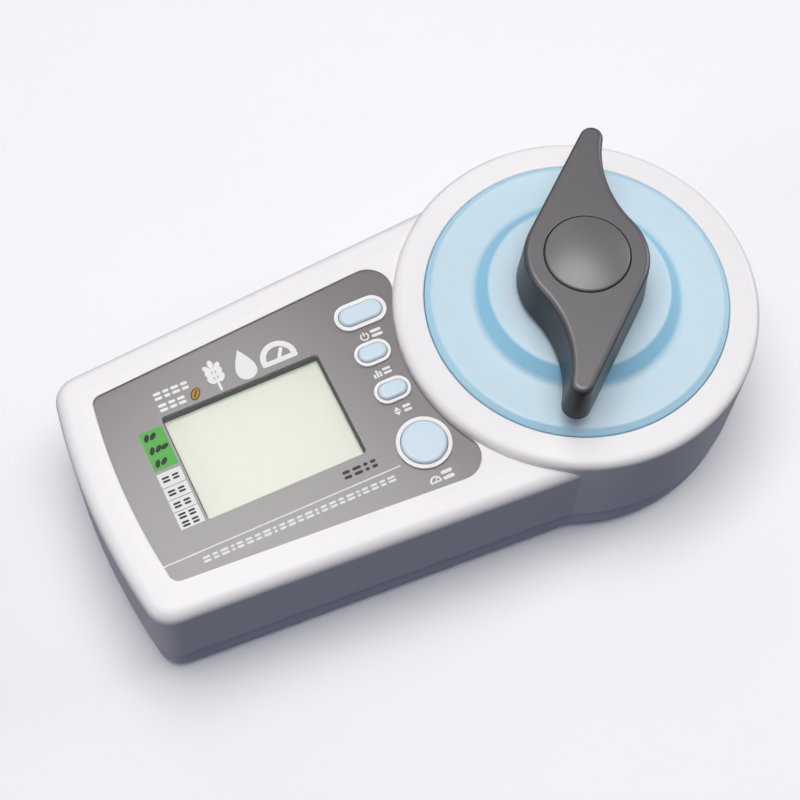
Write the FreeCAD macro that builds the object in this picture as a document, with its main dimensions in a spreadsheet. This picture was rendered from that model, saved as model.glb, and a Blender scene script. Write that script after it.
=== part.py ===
"""Hand-held grain moisture meter, as an assembly of separate pieces.

Millimetres, +Z up, +X from the display end towards the round head. The origin is on the ground
under the middle of the whole meter. Every sub-part is an object of one parametric document whose
sizes are bound to the spreadsheet Dims.
"""
import FreeCAD, Part
import math
import os
import re

import Sketcher

V = FreeCAD.Vector
UP = V(0, 0, 1)

DIMENSIONS = {
    # case: a tapered paddle with a round head at its wide end
    "case_left": -92.6, "axis_x": 44.3, "half_width": 45.03, "side_taper": 0.069,
    "end_radius": 170.0, "corner_radius": 7.0, "crown_width": 6.5, "crown_drop": 0.6,
    "edge_radius": 3.4, "wall_thick": 2.4, "cavity_right": 22.0,
    "shell_z": 1.5, "floor_z": 4.0, "parting_z": 11.7, "roof_z": 36.2, "rim_z": 39.9,
    "head_radius": 48.3, "head_inner": 45.3, "ring_z": 43.4, "ring_outer_z": 42.9,
    "ring_under_z": 40.4, "ring_edge_radius": 2.4, "ring_lip_radius": 0.5, "bore_radius": 40.15,
    "past_face": 1.0, "weld_depth": 0.5, "fit_gap": 0.1,
    "lower_inset": 0.5, "lower_edge_radius": 2.5, "lower_head_radius": 47.8,
    # printed front plate in its recess, and the display under its window
    "panel_left": -83.3, "panel_end_radius": 176.0, "panel_half": 36.03, "panel_z": 39.2,
    "panel_bed_z": 38.6, "panel_gap": 0.15, "panel_left_corner": 2.7, "panel_right_corner": 6.5,
    "window_left": -67.1, "window_right": -23.5, "window_half": 15.3, "window_corner": 1.0,
    "bezel_gap": 0.05, "bezel_wall": 0.35, "bezel_top_z": 38.2, "pane_z": 38.25,
    "pane_top_z": 38.8,
    "glass_left": -68.8, "glass_right": -21.8, "glass_half": 17.5, "glass_z": 33.9,
    "glass_top_z": 36.1, "reflector_z": 32.4, "reflector_half": 15.2, "frame_margin": 2.0,
    "shelf_margin": 1.0, "shelf_thick": 1.5, "strip_inner": 15.6, "strip_width": 1.7,
    # keys: centre, half of the straight length and end radius of the white surround and the key
    "power_x": -8.4, "power_y": 21.1, "average_x": -10.4, "average_y": 9.3,
    "select_x": -10.3, "select_y": -2.45, "measure_x": -9.4, "measure_y": -19.2,
    "wide_straight": 3.3, "wide_surround": 3.9, "wide_key": 2.7, "small_straight": 1.55,
    "small_surround": 3.35, "small_key": 2.35, "round_surround": 7.2, "round_key": 6.0,
    "key_gap": 0.15, "key_top_z": 40.7, "key_edge_radius": 0.85, "flange_width": 0.8,
    "flange_z": 35.3, "flange_top_z": 36.0, "plunger_radius": 1.6, "plunger_z": 33.7,
    "switch_half": 3.0, "switch_top_z": 32.1, "switch_stem_z": 33.0, "switch_stem_radius": 1.5,
    # circuit board and its fixings
    "board_left": -84.0, "board_right": 6.0, "board_half": 25.5, "board_z": 27.0,
    "board_top_z": 28.6, "post_radius": 2.1, "pilot_radius": 1.1, "board_screw_radius": 1.0,
    "board_screw_head": 2.0, "board_head_z": 25.6, "board_screw_top_z": 34.0, "screw_root": 0.2,
    "post_left_x": -78.0, "post_left_y": 20.0, "post_right_x": -17.0, "post_back_y": 15.4,
    "post_front_y": 9.6, "chip_half": 6.0, "chip_x": -14.0, "chip_y": 0.0, "chip_height": 2.2,
    "can_radius": 4.0, "can_x": -76.0, "can_y": 7.0, "can_height": 5.5, "plug_x": 1.0,
    "plug_y": 14.0, "plug_half": 3.0, "plug_height": 4.0,
    # battery, its box and its hinged door
    "battery_left": -80.0, "battery_length": 48.5, "battery_half": 13.25, "battery_z": 6.0,
    "battery_height": 17.5, "box_left": -86.0, "box_right": -26.9, "box_half": 16.6,
    "box_wall": 1.5, "box_top_z": 25.4, "clip_thick": 1.6, "clip_half": 11.0,
    "clip_height": 10.0, "slot_gap": 0.5, "slot_half": 6.0, "stud_radius": 2.6,
    "stud_length": 1.2, "stud_root": 0.2, "stud_half_spacing": 6.3, "lead_radius": 0.6,
    "lead_half_spacing": 4.0, "door_left": -82.2, "door_half": 14.8, "door_gap": 0.3,
    "door_top_z": 3.7, "hinge_x": -30.6, "hinge_z": 3.5, "hinge_radius": 1.9,
    "pin_radius": 0.9, "pin_fit": 0.05, "knuckle_half": 9.0, "ear_width": 2.5,
    "ear_lip": 0.6, "ear_heel": 1.0, "ear_lift": 0.6, "ear_rise": 0.4,
    "stop_length": 1.5, "stop_root": 1.8, "stop_top_z": 5.2, "stop_half": 8.0, "pad_top_z": 5.9,
    "pad_margin": 5.0, "grip_depth": 0.5, "grip_start": 4.0, "grip_pitch": 2.4,
    "grip_width": 1.0, "grip_half": 6.0,
    # case screws, their posts, and the feet
    "screw_radius": 1.25, "screw_head_radius": 2.5, "screw_tip_z": 24.0, "screw_seat_z": 3.1,
    "head_sink": 0.2,
    "boss_radius": 3.3, "screw_hole": 1.4, "screw_head_hole": 2.8,
    "boss_left_x": -81.5, "boss_left_y": 29.0, "boss_right_x": -14.0, "boss_right_y": 34.0,
    "boss_head_x": 68.7, "boss_head_y": 29.1, "foot_radius": 5.0, "foot_top_z": 2.3,
    "foot_pocket": 5.1, "foot_left_x": -71.0, "foot_left_y": 26.0, "foot_right_x": 60.0,
    "foot_right_y": 33.0,
    # sample cell in the head
    "collar_outer": 42.8, "ledge_inner": 30.6, "ledge_z": 33.0, "ledge_top_z": 35.0,
    "cup_radius": 30.2, "cup_inner": 28.6, "cup_z": 9.0, "cup_floor_z": 11.5,
    "cup_flange": 34.0, "cup_top_z": 36.6, "liner_inner": 27.4, "liner_top_z": 36.2,
    "insulator_top_z": 13.6, "electrode_radius": 12.0, "electrode_top_z": 15.0,
    "electrode_edge": 1.0, "sensor_tip": 0.8,
    "electrode_stud": 2.5, "electrode_stud_z": 5.6, "nut_radius": 4.2, "nut_z": 6.4,
    "sensor_offset": 19.0, "sensor_radius": 2.0, "sensor_top_z": 14.6, "cell_screw_pitch": 32.2,
    "cell_screw_head": 1.4, "cell_screw_radius": 0.8, "cell_head_top_z": 37.3,
    "signal_x": 3.0, "signal_z": 7.6, "signal_half_spacing": 2.5,
    # press cap: a stepped dome that closes the cell
    "cap_radius": 40.0, "cap_rim_z": 43.3, "cap_shelf_radius": 38.2, "cap_shelf_z": 44.7,
    "cap_foot_radius": 27.4, "cap_platform_radius": 23.6, "cap_platform_z": 49.4,
    "cap_foot_edge": 3.0, "cap_platform_edge": 1.4, "cap_shelf_edge": 1.4,
    "cap_rim_edge": 0.5, "cap_bottom_z": 36.4, "cap_skirt_inner": 35.5,
    "cap_under_z": 42.3, "cap_inner_radius": 25.2, "cap_inner_top_z": 46.9,
    "cap_inner_step": 21.4, "insert_radius": 8.5, "insert_wall": 2.2, "seal_inner": 35.7,
    "seal_outer": 39.7, "seal_z": 35.1,
    # press screw, plate and handle
    "screw_fit": 0.05, "spindle_radius": 6.0, "spindle_z": 36.4, "spindle_neck": 4.0,
    "spindle_head": 5.5, "spindle_head_z": 33.0, "spindle_head_top_z": 34.9, "handle_z": 51.6,
    "tail_radius": 5.0, "tail_top_z": 59.1, "tail_hole_z": 51.5, "plate_radius": 25.4,
    "plate_z": 31.6, "plate_edge": 0.8,
    "plate_top_z": 35.6, "socket_z": 32.9, "socket_radius": 5.6, "keeper_z": 35.0,
    "keeper_radius": 8.0, "handle_top_z": 65.9, "hub_radius": 16.65, "tip_radius": 3.75,
    "wing_reach": 35.4, "hollow_radius": 29.2, "wing_angle": 60.1, "handle_edge_radius": 1.4,
    "handle_draft": 3.2, "well_radius": 11.1, "well_z": 59.3, "washer_radius": 13.0,
    "washer_z": 49.5, "handle_screw_radius": 2.0, "handle_screw_z": 51.6,
    "handle_screw_head": 4.0, "handle_screw_top_z": 61.3, "disc_radius": 6.0,
    "disc_top_z": 59.8, "button_radius": 10.8, "button_edge_z": 66.3, "button_top_z": 68.1,
    "button_edge_radius": 0.6, "button_skirt_z": 62.1, "button_wall": 1.4,
    "button_under_z": 64.6,
    "spring_radius": 7.7, "wire_radius": 0.45, "spring_pitch": 1.3,
}

doc = FreeCAD.newDocument("GrainMoistureMeter")
sheet = doc.addObject("Spreadsheet::Sheet", "Dims")
for row, (alias, size) in enumerate(DIMENSIONS.items(), start=1):
    sheet.set(f"A{row}", alias)
    sheet.set(f"B{row}", str(size))
    sheet.setAlias(f"B{row}", alias)
doc.recompute()

subparts = []


def value(alias):
    """The number in a cell of the sheet."""
    return float(sheet.get(alias))


def number(text):
    """The value of a sum of sheet names and plain numbers."""
    total = 0.0
    for sign, word in re.findall(r"([+-]?)\s*([a-z][a-z0-9_]*|[0-9.]+)", str(text)):
        amount = value(word) if word[0].isalpha() else float(word)
        total += -amount if sign == "-" else amount
    return total


def in_sheet(text):
    """The same text as a document expression."""
    return re.sub(r"[a-z]+(?:_[a-z0-9]+)+", lambda name: "Dims." + name.group(0), str(text))


def bind(item, path, text):
    item.setExpression(path, in_sheet(text))


def keep(item, label):
    """Name a finished sub-part."""
    item.Label = label
    subparts.append(item)
    return item


# ---- sketches ---------------------------------------------------------------------------------

def new_body(label, x="0", y="0"):
    body = doc.addObject("PartDesign::Body", label)
    bind(body, "Placement.Base.x", x)
    bind(body, "Placement.Base.y", y)
    return keep(body, label)


def new_sketch(body, name, level="0", role="XY_Plane"):
    sketch = body.newObject("Sketcher::SketchObject", name)
    plane = next(item for item in body.Origin.OriginFeatures if item.Role == role)
    sketch.AttachmentSupport = [(plane, "")]
    sketch.MapMode = "FlatFace"
    bind(sketch, "AttachmentOffset.Base.z", level)
    return sketch


def constrain(sketch, *arguments):
    return sketch.addConstraint(Sketcher.Constraint(*arguments))


def measure(sketch, kind, where, text, start=None):
    """A driving constraint bound to the sheet."""
    index = constrain(sketch, kind, *where, number(text) if start is None else start)
    sketch.setExpression(f"Constraints[{index}]", in_sheet(text))


def locate(sketch, shape, point, x, y):
    measure(sketch, "DistanceX", (-1, 1, shape, point), x)
    measure(sketch, "DistanceY", (-1, 1, shape, point), y)


def dome_arc(start, end):
    """The arc from start to end whose centre is on the turning axis, below the end."""
    rise = end.y - start.y
    radius = (start.x ** 2 + rise ** 2) / (2 * rise)
    centre = V(0, end.y - radius, 0)
    angles = [math.atan2(point.y - centre.y, point.x) for point in (start, end)]
    return Part.ArcOfCircle(Part.Circle(centre, UP, radius), *angles)


def outline(sketch, corners):
    """A closed outline of (x, y) corners; an arc with its centre on the turning axis leaves a
    corner given as (x, y, "dome")."""
    base = sketch.GeometryCount
    count = len(corners)
    points = [V(number(corner[0]), number(corner[1]), 0) for corner in corners]
    for index, corner in enumerate(corners):
        start, end = points[index], points[(index + 1) % count]
        sketch.addGeometry(Part.LineSegment(start, end) if len(corner) == 2
                           else dome_arc(start, end), False)
    for index, corner in enumerate(corners):
        constrain(sketch, "Coincident", base + index, 2, base + (index + 1) % count, 1)
        locate(sketch, base + index, 1, corner[0], corner[1])
        if len(corner) == 3:
            constrain(sketch, "PointOnObject", base + index, 3, -2)


def circle(sketch, x, y, radius):
    centre = V(number(x), number(y), 0)
    shape = sketch.addGeometry(Part.Circle(centre, UP, number(radius)), False)
    locate(sketch, shape, 3, x, y)
    measure(sketch, "Radius", (shape,), radius)


def rounded(sketch, centres, radius):
    """A closed outline round two or four corner circles, given anticlockwise."""
    base = sketch.GeometryCount
    count = len(centres)
    size = number(radius)
    points = [V(number(x), number(y), 0) for x, y in centres]
    directions = [(points[(i + 1) % count] - points[i]).normalize() for i in range(count)]
    for index in range(count):
        before, after = directions[index - 1], directions[index]
        start = math.atan2(-before.x, before.y)
        end = math.atan2(-after.x, after.y)
        if end <= start:
            end += 2 * math.pi
        corner = Part.ArcOfCircle(Part.Circle(points[index], UP, size), start, end)
        side = V(after.y, -after.x, 0) * size
        sketch.addGeometry(corner, False)
        sketch.addGeometry(Part.LineSegment(points[index] + side, points[(index + 1) % count] + side))
    for index in range(2 * count):
        constrain(sketch, "Tangent", base + index, 2, base + (index + 1) % (2 * count), 1)
    for index, (x, y) in enumerate(centres):
        locate(sketch, base + 2 * index, 3, x, y)
        if index:
            constrain(sketch, "Equal", base, base + 2 * index)
    measure(sketch, "Radius", (base,), radius)


def slot(sketch, x, y, straight, radius):
    """A round-ended slot along X."""
    rounded(sketch, [(f"{x} - {straight}", y), (f"{x} + {straight}", y)], radius)


def window_outline(sketch, inset):
    """The display window's rectangle with round corners, drawn inset from its edge."""
    margin = f"{inset} + window_corner"
    low, high = f"window_left + {margin}", f"window_right - {inset} - window_corner"
    front, back = f"-window_half + {margin}", f"window_half - {inset} - window_corner"
    rounded(sketch, [(low, front), (high, front), (high, back), (low, back)], "window_corner")


def rectangle(sketch, left, right, front, back):
    outline(sketch, [(left, front), (right, front), (right, back), (left, back)])


def key_outline(sketch, key, radius, straight=None):
    """The outline of one key: round, or a slot when it has a straight length."""
    x, y = f"{key}_x", f"{key}_y"
    if straight is None:
        circle(sketch, x, y, radius)
    else:
        slot(sketch, x, y, straight, radius)


def taper_line(sketch, line, side):
    """Hold a side line at the case's taper: side is 1 at the back and -1 at the front."""
    slope = math.atan(value("side_taper"))
    if side < 0:
        measure(sketch, "Angle", (line,), "-atan(side_taper)", -slope)
    else:
        measure(sketch, "Angle", (line,), "180 deg + atan(side_taper)", math.pi + slope)


def end_corner(left, radius, half, corner):
    """Centre of a corner arc between the convex end and a tapered side."""
    slope, axis = value("side_taper"), value("axis_x")
    middle = left + radius
    inner = half - corner * math.hypot(1, slope)
    a = 1 + slope ** 2
    b = 2 * (slope * (inner - slope * axis) - middle)
    c = middle ** 2 + (inner - slope * axis) ** 2 - (radius - corner) ** 2
    x = (-b - math.sqrt(b * b - 4 * a * c)) / (2 * a)
    return V(x, inner + slope * (x - axis), 0)


def mirrored(point):
    return V(point.x, -point.y, 0)


def tapered_end(left, radius, half, corner):
    """The convex end, its two corners and where they meet the sides."""
    slope = math.atan(value("side_taper"))
    centre = end_corner(left, radius, half, corner)
    middle = V(left + radius, 0, 0)
    angle = math.atan2(centre.y, centre.x - middle.x)
    end = Part.ArcOfCircle(Part.Circle(middle, UP, radius), angle, 2 * math.pi - angle)
    back = Part.ArcOfCircle(Part.Circle(centre, UP, corner), math.pi / 2 + slope, angle)
    front = Part.ArcOfCircle(Part.Circle(mirrored(centre), UP, corner), 2 * math.pi - angle,
                             1.5 * math.pi - slope)
    touch = centre + V(-math.sin(slope), math.cos(slope), 0) * corner
    return end, front, back, touch


def paddle_outline(sketch, inset, right):
    """The case's plan: convex end, round corners, tapered sides and a straight right edge."""
    slope = value("side_taper")
    gap = number(inset)
    half = value("half_width") - gap * math.hypot(1, slope)
    left, radius = value("case_left") + gap, value("end_radius") - gap
    corner = value("corner_radius") - gap
    end, front, back, touch = tapered_end(left, radius, half, corner)
    far = V(number(right), half + slope * (number(right) - value("axis_x")), 0)
    shapes = [end, front, Part.LineSegment(mirrored(touch), mirrored(far)),
              Part.LineSegment(mirrored(far), far), Part.LineSegment(far, touch), back]
    for shape in shapes:
        sketch.addGeometry(shape, False)
    for first, second in ((0, 1), (1, 2), (4, 5), (5, 0)):
        constrain(sketch, "Tangent", first, 2, second, 1)
    for first, second in ((2, 3), (3, 4)):
        constrain(sketch, "Coincident", first, 2, second, 1)
    constrain(sketch, "PointOnObject", 0, 3, -1)
    constrain(sketch, "Equal", 1, 5)
    constrain(sketch, "Symmetric", 3, 1, 3, 2, -1)
    measure(sketch, "Radius", (0,), f"end_radius - ({inset})", radius)
    measure(sketch, "Radius", (1,), f"corner_radius - ({inset})", corner)
    measure(sketch, "DistanceX", (-1, 1, 0, 3), "case_left + end_radius")
    measure(sketch, "DistanceX", (-1, 1, 3, 1), right)
    reach = f"half_width - ({inset}) * sqrt(1 + side_taper ^ 2) + side_taper * ({right} - axis_x)"
    measure(sketch, "DistanceY", (-1, 1, 3, 2), reach, far.y)
    taper_line(sketch, 2, -1)
    taper_line(sketch, 4, 1)


def panel_outline(sketch, inset):
    """The front plate's plan: convex end, tapered sides and a concave arc round the head."""
    slope, axis = value("side_taper"), value("axis_x")
    gap = number(inset)
    half = value("panel_half") - gap * math.hypot(1, slope)
    left, radius = value("panel_left") + gap, value("panel_end_radius") - gap
    corner, tail = value("panel_left_corner") - gap, value("panel_right_corner") - gap
    head = value("head_radius") + gap
    end, front, back, touch = tapered_end(left, radius, half, corner)
    inner = half - tail * math.hypot(1, slope)
    a, b, c = 1 + slope ** 2, 2 * inner * slope, inner ** 2 - (head + tail) ** 2
    run = (-b - math.sqrt(b * b - 4 * a * c)) / (2 * a)
    centre = V(axis + run, inner + slope * run, 0)
    angle = math.atan2(centre.y, run)
    side = math.atan(slope)
    leave = centre + V(-math.sin(side), math.cos(side), 0) * tail
    back_tail = Part.ArcOfCircle(Part.Circle(centre, UP, tail), angle - math.pi, math.pi / 2 + side)
    front_tail = Part.ArcOfCircle(Part.Circle(mirrored(centre), UP, tail), -math.pi / 2 - side,
                                  math.pi - angle)
    hollow = Part.ArcOfCircle(Part.Circle(V(axis, 0, 0), UP, head), angle, 2 * math.pi - angle)
    shapes = [end, front, Part.LineSegment(mirrored(touch), mirrored(leave)), front_tail, hollow,
              back_tail, Part.LineSegment(leave, touch), back]
    for shape in shapes:
        sketch.addGeometry(shape, False)
    joints = ((0, 2, 1, 1), (1, 2, 2, 1), (2, 2, 3, 1), (3, 2, 4, 2), (4, 1, 5, 1), (5, 2, 6, 1),
              (6, 2, 7, 1), (7, 2, 0, 1))
    for joint in joints:
        constrain(sketch, "Tangent", *joint)
    for middle in (0, 4):
        constrain(sketch, "PointOnObject", middle, 3, -1)
    measure(sketch, "DistanceX", (-1, 1, 0, 3), "panel_left + panel_end_radius")
    measure(sketch, "DistanceX", (-1, 1, 4, 3), "axis_x")
    measure(sketch, "Radius", (0,), f"panel_end_radius - ({inset})", radius)
    measure(sketch, "Radius", (4,), f"head_radius + {inset}")
    constrain(sketch, "Equal", 1, 7)
    constrain(sketch, "Equal", 3, 5)
    measure(sketch, "Radius", (1,), f"panel_left_corner - ({inset})", corner)
    measure(sketch, "Radius", (3,), f"panel_right_corner - ({inset})", tail)
    for line, direction in ((2, -1), (6, 1)):
        taper_line(sketch, line, direction)
        mark = sketch.addGeometry(Part.Point(V(axis, direction * half, 0)), True)
        constrain(sketch, "PointOnObject", mark, 1, line)
        measure(sketch, "DistanceX", (-1, 1, mark, 1), "axis_x")
        reach = f"panel_half - ({inset}) * sqrt(1 + side_taper ^ 2)"
        sign = "-1" if direction < 0 else "1"
        measure(sketch, "DistanceY", (-1, 1, mark, 1), f"{sign} * ({reach})", direction * half)


# ---- features ---------------------------------------------------------------------------------

def pad(body, name, level, top, *drawings):
    """Extrude drawings upward from one level to another. A drawing is (function, arguments)."""
    sketch = new_sketch(body, name + "_sketch", level)
    for draw, arguments in drawings:
        draw(sketch, *arguments)
    feature = body.newObject("PartDesign::Pad", name)
    feature.Profile = sketch
    feature.AllowMultiFace = True
    bind(feature, "Length", f"({top}) - ({level})")
    doc.recompute()
    return feature


def pocket(body, name, level, top, *drawings):
    """Cut drawings out of a body, upward from one level to another."""
    before = body.Shape.Volume
    sketch = new_sketch(body, name + "_sketch", level)
    for draw, arguments in drawings:
        draw(sketch, *arguments)
    feature = body.newObject("PartDesign::Pocket", name)
    feature.Profile = sketch
    feature.AllowMultiFace = True
    feature.Reversed = True
    bind(feature, "Length", f"({top}) - ({level})")
    doc.recompute()
    if body.Shape.Volume > before - 1e-3:
        raise RuntimeError(f"{body.Label}: {name} cut nothing")
    return feature


def cross(body, name, kind, radius, length):
    """A round boss or bore on the door's hinge line, centred on the middle plane."""
    before = body.Shape.Volume
    sketch = new_sketch(body, name + "_sketch", "0", "XZ_Plane")
    circle(sketch, "hinge_x", "hinge_z", radius)
    feature = body.newObject(f"PartDesign::{kind}", name)
    feature.Profile = sketch
    feature.Midplane = True
    bind(feature, "Length", length)
    doc.recompute()
    if kind == "Pocket" and body.Shape.Volume > before - 1e-3:
        raise RuntimeError(f"{body.Label}: {name} cut nothing")


def turn(body, name, corners, about="0", cut=False):
    """Revolve a profile of (radius, height) corners about a vertical axis at x = about."""
    before = body.Shape.Volume if cut else 0.0
    sketch = new_sketch(body, name + "_sketch", "0", "XZ_Plane")
    bind(sketch, "AttachmentOffset.Base.x", about)
    outline(sketch, corners)
    feature = body.newObject("PartDesign::Groove" if cut else "PartDesign::Revolution", name)
    feature.Profile = sketch
    feature.ReferenceAxis = (sketch, ["V_Axis"])
    feature.Angle = 360
    doc.recompute()
    if cut and body.Shape.Volume > before - 1e-3:
        raise RuntimeError(f"{body.Label}: {name} cut nothing")
    return feature


def turned(label, corners):
    """A piece turned about the head's axis."""
    body = new_body(label, "axis_x")
    turn(body, "profile", corners)
    return body


def soften(body, name, radius, chosen):
    """Fillet the edges of a body that chosen accepts."""
    base = body.Tip
    names = [f"Edge{i}" for i, edge in enumerate(base.Shape.Edges, start=1) if chosen(edge)]
    feature = body.newObject("PartDesign::Fillet", name)
    feature.Base = (base, names)
    bind(feature, "Radius", radius)
    doc.recompute()
    return feature


def level_edge(level, reach=0.0):
    """Accepts edges that lie flat at a height and are longer than reach."""
    height = number(level)

    def chosen(edge):
        box = edge.BoundBox
        flat = abs(box.ZMin - height) < 1e-4 and abs(box.ZMax - height) < 1e-4
        return flat and edge.Length > reach
    return chosen


def ring_edge(radius, level):
    """Accepts the circle of a given radius at a given height."""
    wanted, at_level = number(radius), level_edge(level)

    def chosen(edge):
        round_edge = at_level(edge) and isinstance(edge.Curve, Part.Circle)
        return round_edge and abs(edge.Curve.Radius - wanted) < 1e-4
    return chosen


def box(x, y, z, length, width, height):
    """A box from its low corner and its three sizes."""
    item = doc.addObject("Part::Box", "block")
    for path, text in (("Placement.Base.x", x), ("Placement.Base.y", y), ("Placement.Base.z", z),
                       ("Length", length), ("Width", width), ("Height", height)):
        bind(item, path, text)
    return item


def rod(x, y, z, radius, height, turn_axis=None):
    """A cylinder that stands at (x, y, z), or lies along Y or X when turn_axis says so."""
    item = doc.addObject("Part::Cylinder", "rod")
    if turn_axis is not None:
        item.Placement = FreeCAD.Placement(V(), FreeCAD.Rotation(turn_axis, 90))
    for path, text in (("Placement.Base.x", x), ("Placement.Base.y", y), ("Placement.Base.z", z),
                       ("Radius", radius), ("Height", height)):
        bind(item, path, text)
    return item


def fused(*items):
    joined = doc.addObject("Part::MultiFuse", "fused")
    joined.Shapes = list(items)
    return joined


def cut(base, *tools):
    """A base less its tools."""
    result = doc.addObject("Part::Cut", "cut")
    result.Base = base
    result.Tool = tools[0] if len(tools) == 1 else fused(*tools)
    return result


def group(label, items):
    """Several separate solids of one kind in one node."""
    gathered = doc.addObject("Part::Compound", label)
    gathered.Links = list(items)
    return keep(gathered, label)


# ---- places that repeat -----------------------------------------------------------------------

KEYS = (("power", "wide"), ("average", "small"), ("select", "small"), ("measure", "round"))
SIDES = ("", "-")
CASE_SCREWS = [(x, f"{side}{y}") for x, y in (("boss_left_x", "boss_left_y"),
                                              ("boss_right_x", "boss_right_y"),
                                              ("boss_head_x", "boss_head_y")) for side in SIDES]
FEET = [(x, f"{side}{y}") for x, y in (("foot_left_x", "foot_left_y"),
                                       ("foot_right_x", "foot_right_y")) for side in SIDES]
BOARD_SCREWS = [("post_left_x", "post_left_y"), ("post_left_x", "-post_left_y"),
                ("post_right_x", "post_back_y"), ("post_right_x", "-post_front_y")]
QUARTERS = [math.radians(angle) for angle in (45, 135, 225, 315)]


def key_drawings(part, extra=""):
    """Drawings of all four keys: part is surround or key, and extra widens them."""
    drawings = []
    for key, kind in KEYS:
        straight = None if kind == "round" else f"{kind}_straight"
        drawings.append((key_outline, (key, f"{kind}_{part}{extra}", straight)))
    return drawings


# ---- case -------------------------------------------------------------------------------------

def make_top_case():
    """Upper shell: the paddle with its crowned rim, the raised head ring and the key surrounds."""
    body = new_body("top_case")
    slab = pad(body, "slab", "parting_z", "rim_z", (paddle_outline, ("0", "axis_x")))
    crown = body.newObject("PartDesign::Chamfer", "crown")
    at_rim = level_edge("rim_z")
    straight_end = value("axis_x")
    crown.Base = (slab, [f"Edge{i}" for i, edge in enumerate(slab.Shape.Edges, start=1)
                         if at_rim(edge) and edge.BoundBox.XMin < straight_end - 1])
    crown.ChamferType = "Two distances"
    bind(crown, "Size", "crown_drop")
    bind(crown, "Size2", "crown_width")
    doc.recompute()
    at_crown = level_edge("rim_z - crown_drop")
    soften(body, "edge", "edge_radius",
           lambda edge: at_crown(edge) and edge.BoundBox.XMin < straight_end - 1)
    pocket(body, "plate_recess", "panel_bed_z", "rim_z + past_face", (panel_outline, ("0",)))
    turn(body, "head", [("0", "parting_z"), ("head_radius", "parting_z"),
                        ("head_radius", "ring_outer_z"), ("bore_radius", "ring_z"),
                        ("0", "ring_z")], "axis_x")
    soften(body, "ring_edge", "ring_edge_radius", ring_edge("head_radius", "ring_outer_z"))
    pad(body, "surrounds", "panel_bed_z", "rim_z", *key_drawings("surround"))
    pocket(body, "paddle_cavity", "parting_z", "roof_z",
           (paddle_outline, ("wall_thick", "cavity_right")))
    turn(body, "head_cavity", [("0", "parting_z"), ("head_inner", "parting_z"),
                               ("head_inner", "ring_under_z"), ("0", "ring_under_z")],
         "axis_x", cut=True)
    pocket(body, "bore", "ring_under_z", "ring_z + past_face", (circle, ("axis_x", "0", "bore_radius")))
    soften(body, "ring_lip", "ring_lip_radius", ring_edge("bore_radius", "ring_z"))
    pocket(body, "window", "roof_z", "rim_z + past_face", (window_outline, ("0",)))
    pocket(body, "key_holes", "roof_z", "rim_z + past_face", *key_drawings("key", " + key_gap"))
    paddle_posts = [(circle, (x, y, "boss_radius")) for x, y in CASE_SCREWS[:4]]
    pad(body, "posts", "parting_z", "roof_z + weld_depth", *paddle_posts)
    pad(body, "board_posts", "board_top_z", "roof_z + weld_depth",
        *[(circle, (x, y, "post_radius")) for x, y in BOARD_SCREWS])
    pocket(body, "pilots", "parting_z", "screw_tip_z + past_face",
           *[(circle, (x, y, "screw_hole")) for x, y in CASE_SCREWS[:4]])
    pocket(body, "board_pilots", "board_top_z", "board_screw_top_z + weld_depth",
           *[(circle, (x, y, "pilot_radius")) for x, y in BOARD_SCREWS])


def make_bottom_case():
    """Lower shell: a shallow tray with the screw posts, the battery opening and foot pockets."""
    body = new_body("bottom_case")
    pad(body, "slab", "shell_z", "parting_z", (paddle_outline, ("lower_inset", "axis_x")))
    at_base = level_edge("shell_z")
    soften(body, "edge", "lower_edge_radius",
           lambda edge: at_base(edge) and edge.BoundBox.XMin < value("axis_x") - 1)
    turn(body, "head", [("0", "shell_z"), ("lower_head_radius", "shell_z"),
                        ("lower_head_radius", "parting_z"), ("0", "parting_z")], "axis_x")
    soften(body, "head_edge", "lower_edge_radius", ring_edge("lower_head_radius", "shell_z"))
    pocket(body, "paddle_cavity", "floor_z", "parting_z + past_face",
           (paddle_outline, ("lower_inset + wall_thick", "cavity_right")))
    pocket(body, "head_cavity", "floor_z", "parting_z + past_face",
           (circle, ("axis_x", "0", "head_inner")))
    pad(body, "posts", "floor_z - weld_depth", "parting_z",
        *[(circle, (x, y, "boss_radius")) for x, y in CASE_SCREWS])
    pocket(body, "screw_holes", "shell_z - past_face", "parting_z + past_face",
           *[(circle, (x, y, "screw_hole")) for x, y in CASE_SCREWS])
    pocket(body, "head_holes", "shell_z - past_face", "screw_seat_z",
           *[(circle, (x, y, "screw_head_hole")) for x, y in CASE_SCREWS])
    pocket(body, "foot_pockets", "shell_z - past_face", "foot_top_z",
           *[(circle, (x, y, "foot_pocket")) for x, y in FEET])
    pocket(body, "door_opening", "shell_z - past_face", "floor_z + past_face",
           (rectangle, ("door_left - door_gap", "hinge_x + hinge_radius + door_gap",
                        "-door_half - door_gap", "door_half + door_gap")))
    pad(body, "stops", "door_top_z + fit_gap", "stop_top_z",
        (rectangle, ("door_left - door_gap - stop_root", "door_left + stop_length",
                     "-stop_half", "stop_half")))
    for name, low, high in (("ear_back", "knuckle_half + door_gap",
                             "knuckle_half + door_gap + ear_width"),
                            ("ear_front", "-knuckle_half - door_gap - ear_width",
                             "-knuckle_half - door_gap")):
        pad(body, name, "shell_z + ear_lift", "stop_top_z + ear_rise",
            (rectangle, ("hinge_x - pin_radius - ear_lip",
                         "hinge_x + hinge_radius + door_gap + ear_heel", low, high)))
    cross(body, "pin_hole", "Pocket", "pin_radius + pin_fit",
          "2 * (knuckle_half + door_gap + ear_width + past_face)")


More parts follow.
